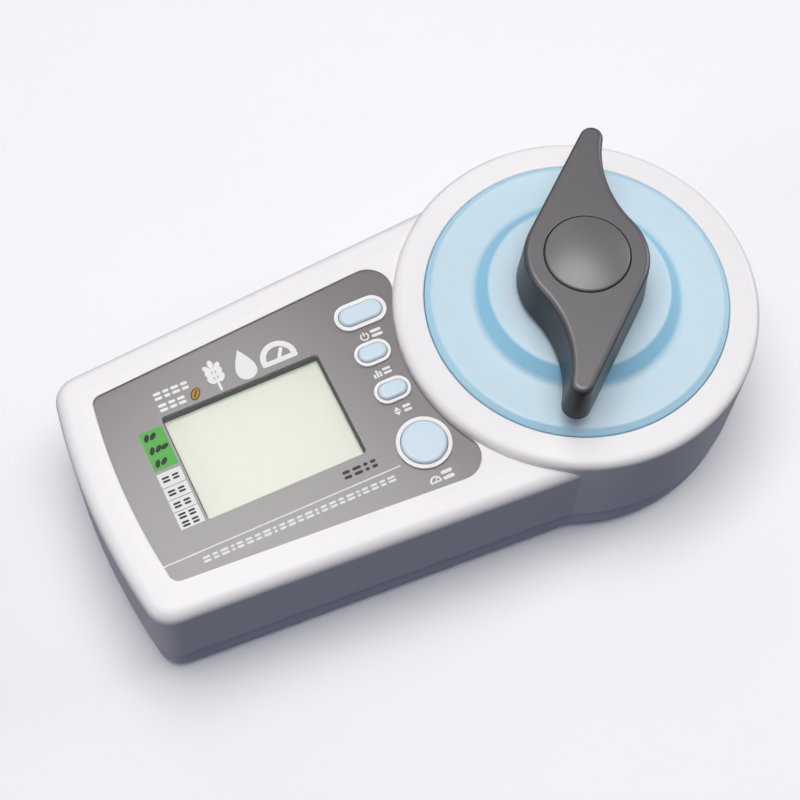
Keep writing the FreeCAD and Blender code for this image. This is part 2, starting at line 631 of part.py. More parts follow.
def make_panel():
    """Thin front plate that fills the recess, with openings for the window and key surrounds."""
    body = new_body("panel_overlay")
    pad(body, "plate", "panel_bed_z", "panel_z", (panel_outline, ("panel_gap",)))
    pocket(body, "window", "panel_bed_z - past_face", "panel_z + past_face", (window_outline, ("0",)))
    pocket(body, "key_openings", "panel_bed_z - past_face", "panel_z + past_face",
           *key_drawings("surround", " + bezel_gap"))


def make_display():
    """Window pane, dark bezel, liquid crystal glass, reflector, holder and contact strips."""
    bezel = new_body("display_bezel")
    pad(bezel, "frame", "roof_z", "bezel_top_z", (window_outline, ("bezel_gap",)))
    pocket(bezel, "opening", "roof_z - past_face", "bezel_top_z + past_face",
           (rectangle, ("window_left + bezel_wall", "window_right - bezel_wall",
                        "-window_half + bezel_wall", "window_half - bezel_wall")))
    pane = new_body("display_window")
    pad(pane, "pane", "pane_z", "pane_top_z", (window_outline, ("bezel_gap",)))
    glass = box("glass_left", "-glass_half", "glass_z", "glass_right - glass_left",
                "2 * glass_half", "glass_top_z - glass_z")
    keep(glass, "lcd_glass")
    reflector = box("glass_left", "-reflector_half", "reflector_z", "glass_right - glass_left",
                    "2 * reflector_half", "glass_z - reflector_z")
    keep(reflector, "lcd_reflector")
    holder = new_body("lcd_holder")
    pad(holder, "frame", "board_top_z", "glass_top_z",
        (rectangle, ("glass_left - frame_margin", "glass_right + frame_margin",
                     "-glass_half - frame_margin", "glass_half + frame_margin")))
    pocket(holder, "opening", "board_top_z - past_face", "glass_top_z + past_face",
           (rectangle, ("glass_left - fit_gap", "glass_right + fit_gap",
                        "-glass_half - fit_gap", "glass_half + fit_gap")))
    pad(holder, "shelf", "reflector_z - shelf_thick", "reflector_z",
        (rectangle, ("glass_left - shelf_margin", "glass_right + shelf_margin",
                     "-strip_inner + weld_depth", "strip_inner - weld_depth")))
    strips = [box("glass_left", y, "board_top_z", "glass_right - glass_left", "strip_width",
                  "glass_z - board_top_z") for y in ("strip_inner", "-strip_inner - strip_width")]
    group("contact_strips", strips)


def make_key(key, kind):
    """One key with its retaining flange, and the plunger that works its switch."""
    straight = None if kind == "round" else f"{kind}_straight"
    radius = f"{kind}_key"
    body = new_body(f"{key}_key")
    pad(body, "flange", "flange_z", "flange_top_z",
        (key_outline, (key, f"{radius} + flange_width", straight)))
    pad(body, "cap", "flange_top_z", "key_top_z", (key_outline, (key, radius, straight)))
    soften(body, "top_edge", "key_edge_radius", level_edge("key_top_z"))
    plunger = rod(f"{key}_x", f"{key}_y", "plunger_z", "plunger_radius", "flange_z - plunger_z")
    keep(plunger, f"{key}_plunger")


def make_electronics():
    """Circuit board, the four key switches, the larger components and the board's screws."""
    board = cut(box("board_left", "-board_half", "board_z", "board_right - board_left",
                    "2 * board_half", "board_top_z - board_z"),
                *[rod(x, y, "board_z - past_face", "board_screw_radius + fit_gap",
                      "board_top_z - board_z + 2 * past_face") for x, y in BOARD_SCREWS])
    keep(board, "main_board")
    switches = []
    for key, _ in KEYS:
        base = box(f"{key}_x - switch_half", f"{key}_y - switch_half", "board_top_z",
                   "2 * switch_half", "2 * switch_half", "switch_top_z - board_top_z")
        stem = rod(f"{key}_x", f"{key}_y", "switch_top_z - weld_depth", "switch_stem_radius",
                   "switch_stem_z - switch_top_z + weld_depth")
        switches.append(fused(base, stem))
    group("key_switches", switches)
    chip = box("chip_x - chip_half", "chip_y - chip_half", "board_z - chip_height",
               "2 * chip_half", "2 * chip_half", "chip_height")
    keep(chip, "processor")
    cans = [rod("can_x", f"{side}can_y", "board_top_z", "can_radius", "can_height")
            for side in SIDES]
    group("capacitors", cans)
    plug = box("plug_x - plug_half", "plug_y - plug_half", "board_top_z", "2 * plug_half",
               "2 * plug_half", "plug_height")
    keep(plug, "sensor_connector")
    screws = []
    for x, y in BOARD_SCREWS:
        head = rod(x, y, "board_head_z", "board_screw_head", "board_z - board_head_z")
        shank = rod(x, y, "board_z - screw_root", "board_screw_radius",
                    "board_screw_top_z - board_z + screw_root")
        screws.append(fused(head, shank))
    group("board_screws", screws)


def make_battery():
    """Nine-volt block, its box, snap connector and leads, and the hinged door with its pin."""
    holder = new_body("battery_box")
    pad(holder, "walls", "floor_z", "box_top_z",
        (rectangle, ("box_left", "box_right + box_wall", "-box_half", "box_half")))
    pocket(holder, "inside", "floor_z - past_face", "box_top_z - box_wall",
           (rectangle, ("box_left + box_wall", "box_right", "-box_half + box_wall",
                        "box_half - box_wall")))
    clip_x = "battery_left + battery_length + stud_length"
    pocket(holder, "lead_slot", "box_top_z - box_wall - past_face", "box_top_z + past_face",
           (rectangle, (f"{clip_x} - slot_gap", f"{clip_x} + clip_thick + slot_gap",
                        "-slot_half", "slot_half")))
    block = box("battery_left", "-battery_half", "battery_z", "battery_length",
                "2 * battery_half", "battery_height")
    middle = "battery_z + battery_height / 2"
    studs = [rod("battery_left + battery_length - stud_root", f"{side}stud_half_spacing", middle,
                 "stud_radius", "stud_length + stud_root", V(0, 1, 0)) for side in SIDES]
    keep(fused(block, *studs), "battery")
    clip = box(clip_x, "-clip_half", f"{middle} - clip_height / 2", "clip_thick",
               "2 * clip_half", "clip_height")
    keep(clip, "battery_connector")
    clip_top = f"{middle} + clip_height / 2"
    leads = [rod(f"{clip_x} + clip_thick / 2", f"{side}lead_half_spacing", clip_top,
                 "lead_radius", f"board_z - ({clip_top})") for side in SIDES]
    group("battery_leads", leads)

    door = new_body("battery_door")
    pad(door, "plate", "shell_z", "door_top_z",
        (rectangle, ("door_left", "hinge_x", "-door_half", "door_half")))
    cut_back = "hinge_x - hinge_radius - door_gap"
    pocket(door, "hinge_space", "shell_z - past_face", "door_top_z + past_face",
           (rectangle, (cut_back, "hinge_x + past_face", "knuckle_half", "door_half + past_face")),
           (rectangle, (cut_back, "hinge_x + past_face", "-door_half - past_face", "-knuckle_half")))
    cross(door, "knuckle", "Pad", "hinge_radius", "2 * knuckle_half")
    cross(door, "bore", "Pocket", "pin_radius + pin_fit", "2 * (knuckle_half + past_face)")
    for rib in range(5):
        left = "door_left + grip_start" + " + grip_pitch" * rib
        pocket(door, f"grip_{rib}", "shell_z - past_face", "shell_z + grip_depth",
               (rectangle, (left, f"{left} + grip_width", "-grip_half", "grip_half")))
    cushion = box("door_left + pad_margin", "-door_half + pad_margin", "door_top_z",
                  "hinge_x - door_left - 3 * pad_margin", "2 * (door_half - pad_margin)",
                  "pad_top_z - door_top_z")
    keep(cushion, "battery_pad")
    pin = rod("hinge_x", "knuckle_half + door_gap + ear_width", "hinge_z", "pin_radius",
              "2 * (knuckle_half + door_gap + ear_width)", V(1, 0, 0))
    keep(pin, "door_pin")


def make_fasteners():
    """Case screws driven up from below, and the rubber feet."""
    screws = []
    for x, y in CASE_SCREWS:
        head = rod(x, y, "shell_z + head_sink", "screw_head_radius",
                   "screw_seat_z - shell_z - head_sink")
        shank = rod(x, y, "screw_seat_z - screw_root", "screw_radius",
                    "screw_tip_z - screw_seat_z + screw_root")
        screws.append(fused(head, shank))
    group("case_screws", screws)
    feet = [rod(x, y, "0", "foot_radius", "foot_top_z") for x, y in FEET]
    group("feet", feet)


# ---- sample cell ------------------------------------------------------------------------------

def make_cell():
    """Collar, cup, electrodes, insulator, temperature sensor and their fixings."""
    collar = turned("cap_collar", [
        ("ledge_inner", "ledge_z"), ("collar_outer", "ledge_z"), ("collar_outer", "ring_under_z"),
        ("bore_radius", "ring_under_z"), ("bore_radius", "ledge_top_z"),
        ("ledge_inner", "ledge_top_z")])
    posts = [(circle, (f"{x} - axis_x", y, "boss_radius")) for x, y in CASE_SCREWS[4:]]
    pad(collar, "posts", "parting_z", "ledge_z + weld_depth", *posts)
    pocket(collar, "pilots", "parting_z - past_face", "screw_tip_z + past_face",
           *[(circle, (f"{x} - axis_x", y, "screw_hole")) for x, y in CASE_SCREWS[4:]])
    cup = turned("cell_cup", [
        ("electrode_stud + fit_gap", "cup_z"), ("cup_radius", "cup_z"),
        ("cup_radius", "ledge_top_z"), ("cup_flange", "ledge_top_z"), ("cup_flange", "cup_top_z"),
        ("cup_inner", "cup_top_z"), ("cup_inner", "cup_floor_z"),
        ("electrode_stud + fit_gap", "cup_floor_z")])
    pitch = value("cell_screw_pitch")
    spots = [(f"{pitch * math.cos(a):.4f}", f"{pitch * math.sin(a):.4f}") for a in QUARTERS]
    holes = [(circle, (x, y, "cell_screw_radius + fit_gap")) for x, y in spots]
    pocket(cup, "screw_holes", "ledge_top_z - past_face", "cup_top_z + past_face", *holes)
    pocket(collar, "screw_holes", "ledge_z - past_face", "ledge_top_z + past_face", *holes)
    turned("outer_electrode", [
        ("liner_inner", "cup_floor_z"), ("cup_inner - fit_gap", "cup_floor_z"),
        ("cup_inner - fit_gap", "liner_top_z"), ("liner_inner", "liner_top_z")])
    insulator = turned("cell_insulator", [
        ("electrode_radius + fit_gap", "cup_floor_z"), ("liner_inner - fit_gap", "cup_floor_z"),
        ("liner_inner - fit_gap", "insulator_top_z"),
        ("electrode_radius + fit_gap", "insulator_top_z")])
    pocket(insulator, "sensor_hole", "cup_floor_z - past_face", "insulator_top_z + past_face",
           (circle, ("sensor_offset", "0", "sensor_radius + fit_gap")))
    electrode = turned("centre_electrode", [
        ("0", "electrode_stud_z"), ("electrode_stud", "electrode_stud_z"),
        ("electrode_stud", "cup_floor_z"), ("electrode_radius", "cup_floor_z"),
        ("electrode_radius", "electrode_top_z"), ("0", "electrode_top_z")])
    soften(electrode, "edge", "electrode_edge", ring_edge("electrode_radius", "electrode_top_z"))
    turned("electrode_nut", [
        ("electrode_stud", "nut_z"), ("nut_radius", "nut_z"), ("nut_radius", "cup_z"),
        ("electrode_stud", "cup_z")])
    sensor = new_body("temperature_sensor", "axis_x + sensor_offset")
    turn(sensor, "bead", [("0", "cup_floor_z"), ("sensor_radius", "cup_floor_z"),
                          ("sensor_radius", "sensor_top_z"), ("0", "sensor_top_z")])
    soften(sensor, "tip", "sensor_tip", ring_edge("sensor_radius", "sensor_top_z"))
    screws = []
    for x, y in spots:
        head = rod(f"axis_x + {x}", y, "cup_top_z", "cell_screw_head", "cell_head_top_z - cup_top_z")
        shank = rod(f"axis_x + {x}", y, "ledge_z + screw_root", "cell_screw_radius",
                    "cup_top_z - ledge_z")
        screws.append(fused(head, shank))
    group("cell_screws", screws)
    wires = []
    for side in SIDES:
        y = f"{side}signal_half_spacing"
        run = rod("signal_x", y, "signal_z", "lead_radius",
                  "axis_x - nut_radius - weld_depth - signal_x", V(0, 1, 0))
        rise = rod("signal_x", y, "signal_z", "lead_radius", "board_z - signal_z")
        elbow = doc.addObject("Part::Sphere", "elbow")
        for path, text in (("Placement.Base.x", "signal_x"), ("Placement.Base.y", y),
                           ("Placement.Base.z", "signal_z"), ("Radius", "lead_radius")):
            bind(elbow, path, text)
        wires.append(fused(run, rise, elbow))
    group("electrode_leads", wires)


# ---- press cap and handle ---------------------------------------------------------------------

def make_cap():
    """Stepped round cap that closes the cell, with its threaded insert and seal."""
    cap = turned("press_cap", [
        ("insert_radius", "cap_under_z"), ("insert_radius + insert_wall", "cap_under_z"),
        ("insert_radius + insert_wall", "cap_inner_top_z"), ("cap_inner_step", "cap_inner_top_z"),
        ("cap_inner_radius", "cap_under_z"), ("cap_skirt_inner", "cap_under_z"),
        ("cap_skirt_inner", "cap_bottom_z"), ("cap_radius", "cap_bottom_z"),
        ("cap_radius", "cap_rim_z"), ("cap_shelf_radius", "cap_shelf_z"),
        ("cap_foot_radius", "cap_shelf_z"), ("cap_platform_radius", "cap_platform_z"),
        ("insert_radius", "cap_platform_z")])
    soften(cap, "foot_edge", "cap_foot_edge", ring_edge("cap_foot_radius", "cap_shelf_z"))
    soften(cap, "platform_edge", "cap_platform_edge",
           ring_edge("cap_platform_radius", "cap_platform_z"))
    soften(cap, "shelf_edge", "cap_shelf_edge", ring_edge("cap_shelf_radius", "cap_shelf_z"))
    soften(cap, "rim_edge", "cap_rim_edge", ring_edge("cap_radius", "cap_rim_z"))
    turned("cap_insert", [
        ("spindle_radius + screw_fit", "cap_under_z"), ("insert_radius", "cap_under_z"),
        ("insert_radius", "cap_platform_z"), ("spindle_radius + screw_fit", "cap_platform_z")])
    turned("cap_seal", [("seal_inner", "seal_z"), ("seal_outer", "seal_z"),
                        ("seal_outer", "cap_bottom_z"), ("seal_inner", "cap_bottom_z")])


def make_press():
    """Press plate that swivels on the screw's round end, and the ring that keeps it there."""
    plate = turned("press_plate", [
        ("0", "plate_z"), ("plate_radius", "plate_z"), ("plate_radius", "plate_top_z"),
        ("keeper_radius", "plate_top_z"), ("keeper_radius", "keeper_z"),
        ("socket_radius", "keeper_z"), ("socket_radius", "socket_z"), ("0", "socket_z")])
    soften(plate, "edge", "plate_edge", ring_edge("plate_radius", "plate_z"))
    turned("keeper_ring", [
        ("spindle_neck + fit_gap", "keeper_z"), ("keeper_radius", "keeper_z"),
        ("keeper_radius", "plate_top_z"), ("spindle_neck + fit_gap", "plate_top_z")])
    turned("press_screw", [
        ("0", "spindle_head_z"), ("spindle_head", "spindle_head_z"),
        ("spindle_head", "spindle_head_top_z"), ("spindle_neck", "spindle_head_top_z"),
        ("spindle_neck", "spindle_z"), ("spindle_radius", "spindle_z"),
        ("spindle_radius", "handle_z"), ("tail_radius", "handle_z"),
        ("tail_radius", "tail_top_z"), ("handle_screw_radius", "tail_top_z"),
        ("handle_screw_radius", "tail_hole_z"), ("0", "tail_hole_z")])


def wing_outline(sketch):
    """The handle's plan, which looks the same after half a turn: a round hub and two wings.

    Each wing runs straight from the hub to its round tip on one side and is hollowed by an arc on
    the other.
    """
    hub, tip, reach, hollow = (value(name) for name in
                               ("hub_radius", "tip_radius", "wing_reach", "hollow_radius"))
    lean = math.asin((hub - tip) / reach)
    near, far = hub + hollow, tip + hollow
    along = (near ** 2 - far ** 2 + reach ** 2) / (2 * reach)
    bow = V(along, -math.sqrt(near ** 2 - along ** 2), 0)
    bow_angle = math.atan2(bow.y, bow.x)
    tip_angle = math.atan2(bow.y, bow.x - reach)
    line_normal = V(math.sin(lean), math.cos(lean), 0)
    for half_turn in (0.0, math.pi):
        way = 1 if half_turn == 0.0 else -1
        round_tip = Part.Circle(V(way * reach, 0, 0), UP, tip)
        round_hub = Part.Circle(V(), UP, hub)
        round_hollow = Part.Circle(bow * way, UP, hollow)
        sketch.addGeometry(Part.ArcOfCircle(round_tip, tip_angle + half_turn,
                                            math.pi / 2 - lean + half_turn), False)
        sketch.addGeometry(Part.LineSegment((V(reach, 0, 0) + line_normal * tip) * way,
                                            line_normal * (hub * way)), False)
        sketch.addGeometry(Part.ArcOfCircle(round_hub, math.pi / 2 - lean + half_turn,
                                            math.pi + bow_angle + half_turn), False)
        facing = half_turn + math.pi
        sketch.addGeometry(Part.ArcOfCircle(Part.Circle(bow * -way, UP, hollow),
                                            tip_angle + math.pi + facing,
                                            bow_angle + math.pi + facing), False)
    joints = ((0, 2, 1, 1), (1, 2, 2, 1), (2, 2, 3, 2), (3, 1, 4, 1), (4, 2, 5, 1), (5, 2, 6, 1),
              (6, 2, 7, 2), (7, 1, 0, 1))
    for joint in joints:
        constrain(sketch, "Tangent", *joint)
    for hub_arc in (2, 6):
        constrain(sketch, "Coincident", hub_arc, 3, -1, 1)
    constrain(sketch, "Equal", 0, 4)
    constrain(sketch, "Equal", 2, 6)
    constrain(sketch, "Equal", 3, 7)
    for tip_arc, place in ((0, "wing_reach"), (4, "-wing_reach")):
        constrain(sketch, "PointOnObject", tip_arc, 3, -1)
        measure(sketch, "DistanceX", (-1, 1, tip_arc, 3), place)
    measure(sketch, "Radius", (0,), "tip_radius")
    measure(sketch, "Radius", (2,), "hub_radius")
    measure(sketch, "Radius", (3,), "hollow_radius")


def make_handle():
    """Two-winged handle, its screw and washer, and the sprung dome in the middle of the hub."""
    handle = new_body("handle", "axis_x")
    handle.Placement = FreeCAD.Placement(V(), FreeCAD.Rotation(UP, value("wing_angle")))
    bind(handle, "Placement.Rotation.Angle", "wing_angle * 1 deg")
    wings = pad(handle, "wings", "handle_z", "handle_top_z", (wing_outline, ()))
    bind(wings, "TaperAngle", "-1 deg * handle_draft")
    doc.recompute()
    soften(handle, "top_edge", "handle_edge_radius", level_edge("handle_top_z"))
    pocket(handle, "well", "well_z", "handle_top_z + past_face", (circle, ("0", "0", "well_radius")))
    pocket(handle, "socket", "handle_z - past_face", "well_z + past_face",
           (circle, ("0", "0", "tail_radius + fit_gap")))
    turned("handle_washer", [
        ("spindle_radius + fit_gap", "washer_z"), ("washer_radius", "washer_z"),
        ("washer_radius", "handle_z"), ("spindle_radius + fit_gap", "handle_z")])
    turned("handle_screw", [
        ("0", "handle_screw_z"), ("handle_screw_radius", "handle_screw_z"),
        ("handle_screw_radius", "well_z"), ("disc_radius", "well_z"),
        ("disc_radius", "disc_top_z"), ("handle_screw_head", "disc_top_z"),
        ("handle_screw_head", "handle_screw_top_z"), ("0", "handle_screw_top_z")])
    button = turned("pressure_button", [
        ("0", "button_under_z"), ("button_radius - button_wall", "button_under_z"),
        ("button_radius - button_wall", "button_skirt_z"), ("button_radius", "button_skirt_z"),
        ("button_radius", "button_edge_z", "dome"), ("0", "button_top_z")])
    soften(button, "edge", "button_edge_radius", ring_edge("button_radius", "button_edge_z"))
    helix = doc.addObject("Part::Helix", "coil_path")
    bind(helix, "Radius", "spring_radius")
    bind(helix, "Pitch", "spring_pitch")
    bind(helix, "Height", "button_under_z - well_z - 2 * wire_radius")
    bind(helix, "Placement.Base.x", "axis_x")
    bind(helix, "Placement.Base.z", "well_z + wire_radius")
    section = doc.addObject("Part::Circle", "wire_section")
    section.Placement = FreeCAD.Placement(V(), FreeCAD.Rotation(V(1, 0, 0), 90))
    bind(section, "Radius", "wire_radius")
    bind(section, "Placement.Base.x", "axis_x + spring_radius")
    bind(section, "Placement.Base.z", "well_z + wire_radius")
    doc.recompute()
    spring = doc.addObject("Part::Sweep", "spring")
    spring.Sections = [section]
    spring.Spine = (helix, [f"Edge{i + 1}" for i in range(len(helix.Shape.Edges))])
    spring.Solid = True
    spring.Frenet = True
    keep(spring, "button_spring")


def check():
    """Stop on any failed object or bad shape."""
    for item in doc.Objects:
        if "Invalid" in item.State or "Error" in item.State:
            raise RuntimeError(f"{item.Name} ({item.Label}) failed: {item.State}")
    for item in subparts:
        shape = item.Shape
        if shape.isNull() or not shape.isValid() or not shape.Solids:
            raise RuntimeError(f"{item.Label} has a bad shape")


def export():
    os.makedirs("parts", exist_ok=True)
    for item in subparts:
        item.Shape.exportStep(f"parts/{item.Label}.step")
        extent = item.Shape.BoundBox
        print(f"{item.Label:20s} {len(item.Shape.Solids)} solids {item.Shape.Volume / 1000:8.2f} cm3"
              f"  z {extent.ZMin:.2f} to {extent.ZMax:.2f}")


make_top_case()
make_bottom_case()
make_panel()
make_display()
for key_name, key_kind in KEYS:
    make_key(key_name, key_kind)
make_electronics()
make_battery()
make_fasteners()
make_cell()
make_cap()
make_press()
make_handle()
doc.recompute()
check()
export()
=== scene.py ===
"""Looks of the hand-held grain moisture meter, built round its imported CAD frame. Places are in
metres, with +Z up and +X towards the round head. The outlines of the prints are in millimetres."""

import math

import bmesh
import bpy
from mathutils import Matrix, Vector


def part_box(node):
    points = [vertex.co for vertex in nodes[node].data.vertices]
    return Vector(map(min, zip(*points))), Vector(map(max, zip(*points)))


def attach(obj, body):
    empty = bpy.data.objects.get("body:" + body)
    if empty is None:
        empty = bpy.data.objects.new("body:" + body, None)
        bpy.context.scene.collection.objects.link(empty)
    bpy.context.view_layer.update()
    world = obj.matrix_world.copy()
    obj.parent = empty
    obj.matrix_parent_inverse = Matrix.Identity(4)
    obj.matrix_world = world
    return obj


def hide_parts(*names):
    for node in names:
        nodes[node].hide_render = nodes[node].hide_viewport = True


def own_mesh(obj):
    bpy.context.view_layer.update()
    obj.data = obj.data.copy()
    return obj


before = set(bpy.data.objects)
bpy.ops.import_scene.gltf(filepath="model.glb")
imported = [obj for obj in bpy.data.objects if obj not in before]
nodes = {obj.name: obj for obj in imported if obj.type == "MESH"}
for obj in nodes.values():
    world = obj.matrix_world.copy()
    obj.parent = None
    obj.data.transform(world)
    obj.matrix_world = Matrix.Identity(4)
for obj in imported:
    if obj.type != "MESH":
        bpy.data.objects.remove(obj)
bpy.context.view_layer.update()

MM = 0.001
WHITE = (1.0, 1.0, 1.0, 1.0)


# ---- shader helpers ----------------------------------------------------------------------------

def linear(red, green, blue):
    """Linear colour from display values between 0 and 255."""
    def channel(shade):
        share = shade / 255
        return share / 12.92 if share <= 0.04045 else ((share + 0.055) / 1.055) ** 2.4
    return (channel(red), channel(green), channel(blue), 1.0)


def shaded(colour, factor):
    return tuple(channel * factor for channel in colour[:3]) + (1.0,)


def shader_of(material):
    return material.node_tree.nodes["Principled BSDF"]


def new_material(name):
    material = bpy.data.materials.new(name)
    material.use_nodes = True
    return material, material.node_tree, shader_of(material)


def noise(tree, scale, detail=3.0):
    """Noise that lies in the object's own space, with so many waves to the metre."""
    place = tree.nodes.new("ShaderNodeTexCoord")
    pattern = tree.nodes.new("ShaderNodeTexNoise")
    tree.links.new(place.outputs["Object"], pattern.inputs["Vector"])
    pattern.inputs["Scale"].default_value = scale
    pattern.inputs["Detail"].default_value = detail
    return pattern.outputs["Fac"]


def position(tree, output, axis):
    """One axis of a texture coordinate."""
    place = tree.nodes.new("ShaderNodeTexCoord")
    parts = tree.nodes.new("ShaderNodeSeparateXYZ")
    tree.links.new(place.outputs[output], parts.inputs["Vector"])
    return parts.outputs[axis]


def spread(tree, source, low, high, from_low=0.3, from_high=0.7):
    """A value mapped from one range to another. Noise keeps mostly between 0.3 and 0.7."""
    mapping = tree.nodes.new("ShaderNodeMapRange")
    tree.links.new(source, mapping.inputs["Value"])
    mapping.inputs["From Min"].default_value = from_low
    mapping.inputs["From Max"].default_value = from_high
    mapping.inputs["To Min"].default_value = low
    mapping.inputs["To Max"].default_value = high
    return mapping.outputs["Result"]


def blend_colours(tree, factor, first, second):
    """Two colours blended by a factor. The first is a colour or another node's output."""
    mix = tree.nodes.new("ShaderNodeMix")
    mix.data_type = "RGBA"
    tree.links.new(factor, mix.inputs["Factor"])
    if isinstance(first, bpy.types.NodeSocket):
        tree.links.new(first, mix.inputs["A"])
    else:
        mix.inputs["A"].default_value = first
    mix.inputs["B"].default_value = second
    return mix.outputs["Result"]


def overlay(material, factor, colour):
    """Lay another colour over a material where the factor is 1."""
    tree = material.node_tree
    socket = shader_of(material).inputs["Base Color"]
    below = socket.links[0].from_socket
    tree.links.new(blend_colours(tree, factor, below, colour), socket)


def by_slope(tree, on_steep, on_flat, steep, flat):
    """One value on steep faces and another on flat ones. steep and flat are the heights of the
    object's own unit normal between which the first value passes into the second."""
    return spread(tree, position(tree, "Normal", "Z"), on_steep, on_flat, steep, flat)


def surface(name, colour, vary=0.04, roughness=0.42, rough_vary=0.06, grain=0.4, height=0.006,
            mottle=30.0, **sockets):
    """Moulded plastic, rubber or metal: slow colour mottling, and a fine grain that moves the
    roughness and raises a bump. grain is the size of the texture and height its depth, in
    millimetres, and mottle is how many slow waves go to the metre."""
    material, tree, shader = new_material(name)
    slow = noise(tree, mottle)
    fine = noise(tree, 1 / (grain * MM))
    tone = blend_colours(tree, slow, shaded(colour, 1 - vary), shaded(colour, 1 + vary))
    tree.links.new(tone, shader.inputs["Base Color"])
    tree.links.new(spread(tree, fine, roughness - rough_vary, roughness + rough_vary),
                   shader.inputs["Roughness"])
    bump = tree.nodes.new("ShaderNodeBump")
    bump.inputs["Distance"].default_value = height * MM
    tree.links.new(fine, bump.inputs["Height"])
    tree.links.new(bump.outputs["Normal"], shader.inputs["Normal"])
    for socket, amount in sockets.items():
        shader.inputs[socket.replace("_", " ")].default_value = amount
    return material


def dress(material, *names):
    """Give CAD nodes a material."""
    for name in names:
        mesh = nodes[name].data
        if not mesh.materials:
            mesh.materials.append(material)
        for index in range(len(mesh.materials)):
            mesh.materials[index] = material


# ---- materials of the outside --------------------------------------------------------------------

def case_plastic():
    return surface("case_white", linear(237, 234, 233), vary=0.012, roughness=0.4, grain=0.5,
                   height=0.003, Subsurface_Weight=0.06, Subsurface_Scale=0.001,
                   Specular_IOR_Level=0.35)


# A slightly greyer copy of the case white: painted shade for the darker band under the parting
# line.
def lower_case_plastic():
    return surface("case_white_lower", linear(226, 225, 230), vary=0.012, roughness=0.44, grain=0.5,
                   height=0.004, Specular_IOR_Level=0.35)


def cap_plastic():
    """Translucent pale blue plastic, with painted shade: a deeper blue where it slopes."""
    material = surface("cap_blue", linear(199, 221, 231), vary=0.012, roughness=0.46, grain=0.35,
                       height=0.003, Subsurface_Weight=0.4, Subsurface_Scale=0.003,
                       Subsurface_Radius=(0.4, 0.8, 1.0))
    # Painted shade: steep faces get a deeper blue, set by slope, in place of the shade that falls
    # on them.
    painted_shade_by_slope = by_slope(material.node_tree, 1.0, 0.0, steep=0.6, flat=0.99)
    overlay(material, painted_shade_by_slope, linear(150, 206, 231))
    return material


def handle_plastic():
    """Dark plastic with a finely textured top. Its sides carry painted shade: a darker colour,
    slightly blue as a painted reflection of the cap, and a dulled gloss.
    """
    steep, flat = 0.1, 0.75
    side_gloss_painted_dull = (0.08, 0.09, 0.1, 1.0)
    material = surface("handle_grey", linear(86, 83, 83), vary=0.04, roughness=0.38,
                       rough_vary=0.05, grain=0.22, height=0.01, Specular_IOR_Level=1.0)
    tree = material.node_tree
    # Painted shade: steep faces get a darker, slightly blue colour.
    overlay(material, by_slope(tree, 1.0, 0.0, steep, flat), linear(15, 21, 26))
    # Painted shade on the gloss: steep faces reflect a dulled colour, flat ones white.
    gloss_tint_painted_by_slope = blend_colours(tree, by_slope(tree, 0.0, 1.0, steep, flat), side_gloss_painted_dull, WHITE)
    tree.links.new(gloss_tint_painted_by_slope, shader_of(material).inputs["Specular Tint"])
    return material


def button_plastic():
    return surface("button_grey", linear(104, 100, 99), vary=0.04, roughness=0.41, rough_vary=0.05,
                   grain=0.18, height=0.008, Specular_IOR_Level=0.9)


def key_plastic():
    return surface("key_blue", linear(202, 219, 229), vary=0.006, roughness=0.3, rough_vary=0.03,
                   grain=0.2, height=0.0008, Subsurface_Weight=0.12, Subsurface_Scale=0.0006)


def panel_print():
    return surface("panel_grey", linear(122, 117, 116), vary=0.02, roughness=0.2, rough_vary=0.03,
                   grain=0.16, height=0.002, Specular_IOR_Level=0.65)


def clear_window():
    """Clear film with a slight haze."""
    material, tree, shader = new_material("window_clear")
    shader.inputs["Base Color"].default_value = (0.98, 0.99, 0.98, 1.0)
    shader.inputs["Alpha"].default_value = 0.03
    haze = noise(tree, 200.0, 2.0)
    tree.links.new(spread(tree, haze, 0.24, 0.32), shader.inputs["Roughness"])
    return material


def display_glass():
    return surface("lcd_glass", linear(224, 227, 210), vary=0.006, roughness=0.3, rough_vary=0.03,
                   grain=0.3, height=0.0006)


def bezel_plastic():
    return surface("bezel_dark", linear(30, 29, 28), roughness=0.6, grain=0.2, height=0.006,
                   Specular_IOR_Level=0.3)


def foot_rubber():
    return surface("foot_rubber", linear(72, 72, 74), roughness=0.75, grain=0.3, height=0.03)


# ---- materials of the inside ---------------------------------------------------------------------

def steel(name="steel"):
    return surface(name, linear(176, 178, 182), vary=0.05, roughness=0.3, rough_vary=0.1,
                   grain=0.15, height=0.004, Metallic=1.0)


def brass():
    return surface("brass", linear(206, 170, 98), vary=0.06, roughness=0.28, rough_vary=0.1,
                   grain=0.15, height=0.004, Metallic=1.0)


def electrode_metal():
    return surface("electrode_metal", linear(196, 198, 201), vary=0.04, roughness=0.26,
                   rough_vary=0.08, grain=0.12, height=0.003, Metallic=1.0)


def dark_plastic():
    return surface("dark_plastic", linear(52, 52, 54), grain=0.3, height=0.006)


def white_plastic():
    return surface("white_plastic", linear(222, 220, 214), grain=0.3)


def component_plastic():
    return surface("component_black", linear(38, 38, 40), roughness=0.5, grain=0.2, height=0.008)


def board_lacquer():
    return surface("board_green", linear(28, 92, 52), vary=0.1, roughness=0.35, grain=0.8,
                   height=0.01, mottle=400.0)


def contact_rubber():
    return surface("contact_rubber", linear(60, 60, 62), roughness=0.7, grain=0.15, height=0.01)


def seal_rubber():
    return surface("seal_rubber", linear(44, 44, 46), roughness=0.68, grain=0.2, height=0.015)


def foam():
    return surface("foam", linear(70, 72, 76), vary=0.15, roughness=0.9, grain=0.5, height=0.2)


def wire_sleeve():
    return surface("wire_sleeve", linear(150, 34, 30), roughness=0.45, grain=0.3)


